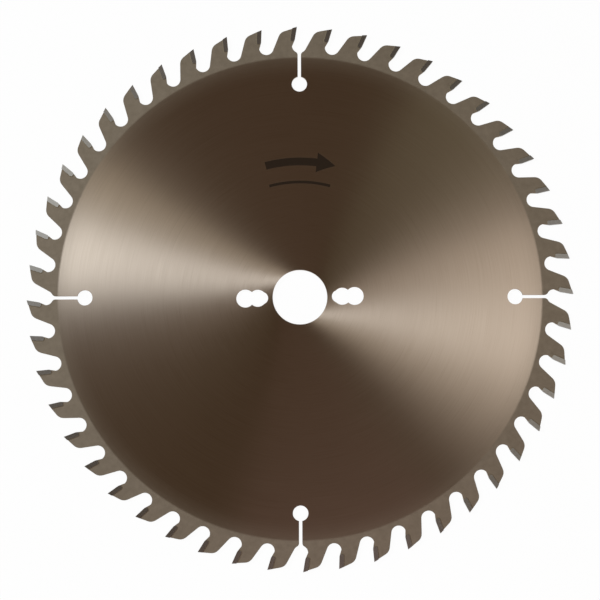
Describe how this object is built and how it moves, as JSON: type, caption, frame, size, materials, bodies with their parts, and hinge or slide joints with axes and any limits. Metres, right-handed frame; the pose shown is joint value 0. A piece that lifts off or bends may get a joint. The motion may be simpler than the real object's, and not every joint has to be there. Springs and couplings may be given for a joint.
{
  "type": "circular saw blade",
  "caption": "Flat round saw blade with hooked carbide tipped teeth, round gullets, slots in the rim that end in round holes, a central bore and drive pin holes.",
  "frame": {"origin": "centre of the bore, at half the plate's thickness", "axes": "+Z along the blade's axis, out of the face from which it cuts clockwise; +Y to the first tip"},
  "size_m": [0.3, 0.3, 0.0032],
  "materials": {
    "tool_steel": "ground",
    "tungsten_carbide": "fine ground"
  },
  "bodies": {
    "root": {"saw_plate": "tool_steel", "tip_01": "tungsten_carbide", "tip_02": "tungsten_carbide", "tip_03": "tungsten_carbide", "tip_04": "tungsten_carbide", "tip_05": "tungsten_carbide", "tip_06": "tungsten_carbide", "tip_07": "tungsten_carbide", "tip_08": "tungsten_carbide", "tip_09": "tungsten_carbide", "tip_10": "tungsten_carbide", "tip_11": "tungsten_carbide", "tip_12": "tungsten_carbide", "tip_13": "tungsten_carbide", "tip_14": "tungsten_carbide", "tip_15": "tungsten_carbide", "tip_16": "tungsten_carbide", "tip_17": "tungsten_carbide", "tip_18": "tungsten_carbide", "tip_19": "tungsten_carbide", "tip_20": "tungsten_carbide", "tip_21": "tungsten_carbide", "tip_22": "tungsten_carbide", "tip_23": "tungsten_carbide", "tip_24": "tungsten_carbide", "tip_25": "tungsten_carbide", "tip_26": "tungsten_carbide", "tip_27": "tungsten_carbide", "tip_28": "tungsten_carbide", "tip_29": "tungsten_carbide", "tip_30": "tungsten_carbide", "tip_31": "tungsten_carbide", "tip_32": "tungsten_carbide", "tip_33": "tungsten_carbide", "tip_34": "tungsten_carbide", "tip_35": "tungsten_carbide", "tip_36": "tungsten_carbide", "tip_37": "tungsten_carbide", "tip_38": "tungsten_carbide", "tip_39": "tungsten_carbide", "tip_40": "tungsten_carbide", "tip_41": "tungsten_carbide", "tip_42": "tungsten_carbide", "tip_43": "tungsten_carbide", "tip_44": "tungsten_carbide", "tip_45": "tungsten_carbide", "tip_46": "tungsten_carbide", "tip_47": "tungsten_carbide", "tip_48": "tungsten_carbide"}
  },
  "joints": []
}
